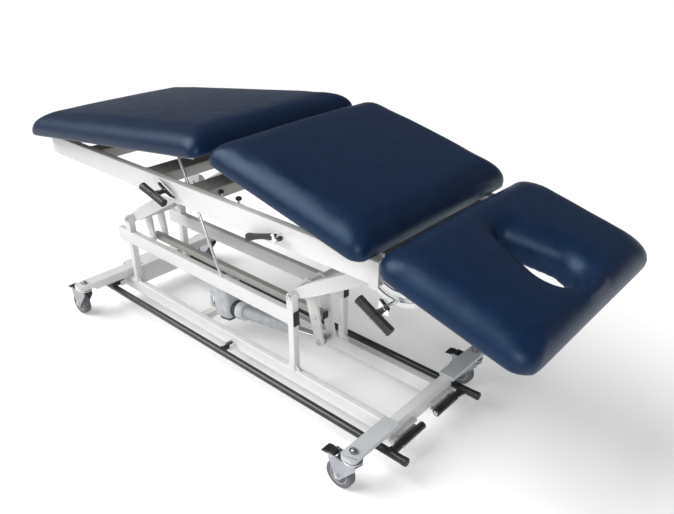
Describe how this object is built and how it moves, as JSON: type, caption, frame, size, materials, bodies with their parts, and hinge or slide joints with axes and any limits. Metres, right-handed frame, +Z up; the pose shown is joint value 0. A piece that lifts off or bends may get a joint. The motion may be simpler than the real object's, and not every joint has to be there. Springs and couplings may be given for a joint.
{
  "type": "medical exam table",
  "caption": "Padded three-section treatment table on a lifting parallel-arm base with casters, foot bars, props and a face opening in the head section.",
  "frame": {"origin": "on the floor under the middle of the table's overall length and width", "axes": "+X towards the head end, +Y towards the far long side, +Z up"},
  "size_m": [1.9896, 0.686, 0.9186],
  "materials": {
    "white_frame": "white powder coat",
    "pale_plate": "pale blue-grey powder coat",
    "black_plastic": "black moulded caps and blocks",
    "black_tube": "gloss black powder coat",
    "zinc_steel": "bright zinc plate",
    "chrome_rod": "polished chrome",
    "grey_plastic": "light grey motor housing",
    "grey_tube": "satin grey outer tube",
    "grey_rubber": "grey wheel rubber",
    "black_rubber": "black rubber",
    "plywood": "plywood under the upholstery",
    "navy_vinyl": "navy vinyl over foam"
  },
  "bodies": {
    "base": {"lower_rails": "white_frame", "upper_rails": "white_frame", "rail_end_caps": "black_plastic", "frame_posts": "white_frame", "end_crossmembers": "white_frame", "foot_outriggers": "pale_plate", "head_caster_plates": "pale_plate", "pivot_lugs": "white_frame", "base_pivot_bolts": "zinc_steel", "actuator_mount": "white_frame", "foot_bar_brackets": "white_frame"},
    "near_foot_bar": {"near_foot_bar": "black_tube"},
    "far_foot_bar": {"far_foot_bar": "black_tube"},
    "lift_arm_head": {"lift_arm_head": "white_frame", "lift_levers_head": "white_frame", "lever_pins_head": "zinc_steel"},
    "lift_arm_foot": {"lift_arm_foot": "white_frame", "lift_levers_foot": "white_frame", "lever_pin_foot": "zinc_steel"},
    "tie_bar": {"tie_bar": "white_frame", "tie_bar_caps": "black_plastic"},
    "actuator_rod": {"actuator_rod": "chrome_rod"},
    "actuator_body": {"actuator_tube": "grey_tube", "actuator_motor": "grey_plastic"},
    "top_frame": {"top_side_rails": "white_frame", "top_crossmembers": "white_frame", "top_pivot_lugs": "white_frame", "top_frame_bolts": "zinc_steel", "frame_hinge_ears": "white_frame", "foot_lock_clutch": "black_plastic", "rest_bumpers": "black_rubber", "head_lock_quadrant": "zinc_steel"},
    "foot_section": {"foot_cushion": "navy_vinyl", "foot_board": "plywood", "foot_brackets": "zinc_steel"},
    "mid_section": {"mid_cushion": "navy_vinyl", "mid_board": "plywood", "mid_brackets": "zinc_steel"},
    "head_section": {"head_cushion": "navy_vinyl", "head_board": "plywood", "head_brackets": "white_frame"},
    "foot_prop": {"foot_prop_rod": "chrome_rod"},
    "gas_spring_cylinder": {"gas_spring_cylinder": "black_tube"},
    "gas_spring_rod": {"gas_spring_rod": "chrome_rod"},
    "foot_handle": {"foot_release_handle": "black_plastic"},
    "mid_handle": {"mid_release_handle": "black_plastic"},
    "head_handle": {"head_release_handle": "black_plastic"},
    "caster_fork_near_head": {"caster_fork_near_head": "zinc_steel"},
    "caster_wheel_near_head": {"caster_wheel_near_head": "grey_rubber"},
    "caster_pedal_near_head": {"caster_pedal_near_head": "black_plastic"},
    "caster_fork_far_head": {"caster_fork_far_head": "zinc_steel"},
    "caster_wheel_far_head": {"caster_wheel_far_head": "grey_rubber"},
    "caster_pedal_far_head": {"caster_pedal_far_head": "black_plastic"},
    "caster_fork_near_foot": {"caster_fork_near_foot": "zinc_steel"},
    "caster_wheel_near_foot": {"caster_wheel_near_foot": "grey_rubber"},
    "caster_pedal_near_foot": {"caster_pedal_near_foot": "black_plastic"},
    "caster_fork_far_foot": {"caster_fork_far_foot": "zinc_steel"},
    "caster_wheel_far_foot": {"caster_wheel_far_foot": "grey_rubber"},
    "caster_pedal_far_foot": {"caster_pedal_far_foot": "black_plastic"}
  },
  "joints": [
    {"name": "lift", "type": "hinge", "parent": "base", "child": "lift_arm_head", "pos_m": [0.11742, 0, 0.387], "axis": [0, -1, 0], "range_deg": [-32, 20]},
    {"name": "foot_arm_swing", "type": "hinge", "parent": "base", "child": "lift_arm_foot", "pos_m": [-0.77358, 0, 0.387], "axis": [0, -1, 0], "range_deg": [-32.5, 20.5]},
    {"name": "top_frame_level", "type": "hinge", "parent": "lift_arm_head", "child": "top_frame", "pos_m": [0.55043, 0, 0.637], "axis": [0, -1, 0], "range_deg": [-20.5, 32.5]},
    {"name": "tie_bar_level", "type": "hinge", "parent": "lift_arm_head", "child": "tie_bar", "pos_m": [0.13946, -0.0125, 0.28332], "axis": [0, -1, 0], "range_deg": [-20.5, 32.5]},
    {"name": "actuator_eye", "type": "hinge", "parent": "lift_arm_head", "child": "actuator_rod", "pos_m": [0.15844, -0.0125, 0.19401], "axis": [0, -1, 0], "range_deg": [-20.5, 32.5]},
    {"name": "actuator_stroke", "type": "slide", "parent": "actuator_rod", "child": "actuator_body", "axis": [-0.9882, 0, -0.153], "range_m": [-0.109, 0.069]},
    {"name": "foot_section_tilt", "type": "hinge", "parent": "top_frame", "child": "foot_section", "pos_m": [-0.95858, 0, 0.712], "axis": [0, -1, 0], "range_deg": [-7.35, 7]},
    {"name": "foot_prop_slide", "type": "slide", "parent": "top_frame", "child": "foot_prop", "axis": [-0.407, 0, 0.9134], "range_m": [-0.1, 0.095]},
    {"name": "mid_section_tilt", "type": "hinge", "parent": "top_frame", "child": "mid_section", "pos_m": [0.54642, 0, 0.712], "axis": [0, 1, 0], "range_deg": [-13.44, 6]},
    {"name": "gas_spring_swing", "type": "hinge", "parent": "top_frame", "child": "gas_spring_cylinder", "pos_m": [0.38142, 0.045, 0.668], "axis": [0, -1, 0], "range_deg": [-9.2, 20.3]},
    {"name": "gas_spring_stroke", "type": "slide", "parent": "gas_spring_cylinder", "child": "gas_spring_rod", "axis": [-0.8773, 0, 0.4799], "range_m": [-0.0255, 0.0115]},
    {"name": "head_section_tilt", "type": "hinge", "parent": "top_frame", "child": "head_section", "pos_m": [0.58642, 0, 0.712], "axis": [0, -1, 0], "range_deg": [-35, 30]},
    {"name": "foot_handle_turn", "type": "hinge", "parent": "top_frame", "child": "foot_handle", "pos_m": [-0.26158, -0.32, 0.681], "axis": [0, -1, 0], "range_deg": [-20, 50]},
    {"name": "mid_handle_lift", "type": "hinge", "parent": "top_frame", "child": "mid_handle", "pos_m": [0.24842, -0.32, 0.69], "axis": [0, 1, 0], "range_deg": [0, 14], "stiffness_Nm_per_rad": 3, "springref_deg": -17.19},
    {"name": "head_handle_turn", "type": "hinge", "parent": "head_section", "child": "head_handle", "pos_m": [0.59642, -0.32, 0.61], "axis": [0, -1, 0], "range_deg": [-45, 45]},
    {"name": "near_foot_bar_rock", "type": "hinge", "parent": "base", "child": "near_foot_bar", "pos_m": [0, -0.146, 0.081], "axis": [1, 0, 0], "range_deg": [-8, 8], "stiffness_Nm_per_rad": 45},
    {"name": "far_foot_bar_rock", "type": "hinge", "parent": "base", "child": "far_foot_bar", "pos_m": [0, 0.146, 0.081], "axis": [-1, 0, 0], "range_deg": [-8, 8], "stiffness_Nm_per_rad": 45},
    {"name": "swivel_near_head", "type": "hinge", "parent": "base", "child": "caster_fork_near_head", "pos_m": [0.53242, -0.312, 0.127], "axis": [0, 0, 1], "continuous": true},
    {"name": "roll_near_head", "type": "hinge", "parent": "caster_fork_near_head", "child": "caster_wheel_near_head", "pos_m": [0.48842, -0.312, 0.045], "axis": [0, 1, 0], "continuous": true},
    {"name": "brake_near_head", "type": "hinge", "parent": "caster_fork_near_head", "child": "caster_pedal_near_head", "pos_m": [0.46642, -0.312, 0.103], "axis": [0, -1, 0], "range_deg": [0, 11]},
    {"name": "swivel_far_head", "type": "hinge", "parent": "base", "child": "caster_fork_far_head", "pos_m": [0.53242, 0.312, 0.127], "axis": [0, 0, 1], "continuous": true},
    {"name": "roll_far_head", "type": "hinge", "parent": "caster_fork_far_head", "child": "caster_wheel_far_head", "pos_m": [0.48842, 0.312, 0.045], "axis": [0, 1, 0], "continuous": true},
    {"name": "brake_far_head", "type": "hinge", "parent": "caster_fork_far_head", "child": "caster_pedal_far_head", "pos_m": [0.46642, 0.312, 0.103], "axis": [0, -1, 0], "range_deg": [0, 11]},
    {"name": "swivel_near_foot", "type": "hinge", "parent": "base", "child": "caster_fork_near_foot", "pos_m": [-0.85658, -0.312, 0.127], "axis": [0, 0, 1], "continuous": true},
    {"name": "roll_near_foot", "type": "hinge", "parent": "caster_fork_near_foot", "child": "caster_wheel_near_foot", "pos_m": [-0.90058, -0.312, 0.045], "axis": [0, 1, 0], "continuous": true},
    {"name": "brake_near_foot", "type": "hinge", "parent": "caster_fork_near_foot", "child": "caster_pedal_near_foot", "pos_m": [-0.92258, -0.312, 0.103], "axis": [0, -1, 0], "range_deg": [0, 11]},
    {"name": "swivel_far_foot", "type": "hinge", "parent": "base", "child": "caster_fork_far_foot", "pos_m": [-0.85658, 0.312, 0.127], "axis": [0, 0, 1], "continuous": true},
    {"name": "roll_far_foot", "type": "hinge", "parent": "caster_fork_far_foot", "child": "caster_wheel_far_foot", "pos_m": [-0.90058, 0.312, 0.045], "axis": [0, 1, 0], "continuous": true},
    {"name": "brake_far_foot", "type": "hinge", "parent": "caster_fork_far_foot", "child": "caster_pedal_far_foot", "pos_m": [-0.92258, 0.312, 0.103], "axis": [0, -1, 0], "range_deg": [0, 11]}
  ],
  "couplings": [
    {"joint": "foot_arm_swing", "follows": "lift", "ratio": 1},
    {"joint": "top_frame_level", "follows": "lift", "ratio": -1},
    {"joint": "tie_bar_level", "follows": "lift", "ratio": -1},
    {"joint": "actuator_eye", "follows": "lift", "ratio": -1},
    {"joint": "actuator_stroke", "follows": "lift", "m_per_rad": 0.1925},
    {"joint": "foot_prop_slide", "follows": "foot_section_tilt", "m_per_rad": 0.768},
    {"joint": "gas_spring_swing", "follows": "mid_section_tilt", "ratio": -1.49},
    {"joint": "gas_spring_stroke", "follows": "mid_section_tilt", "m_per_rad": 0.105}
  ]
}
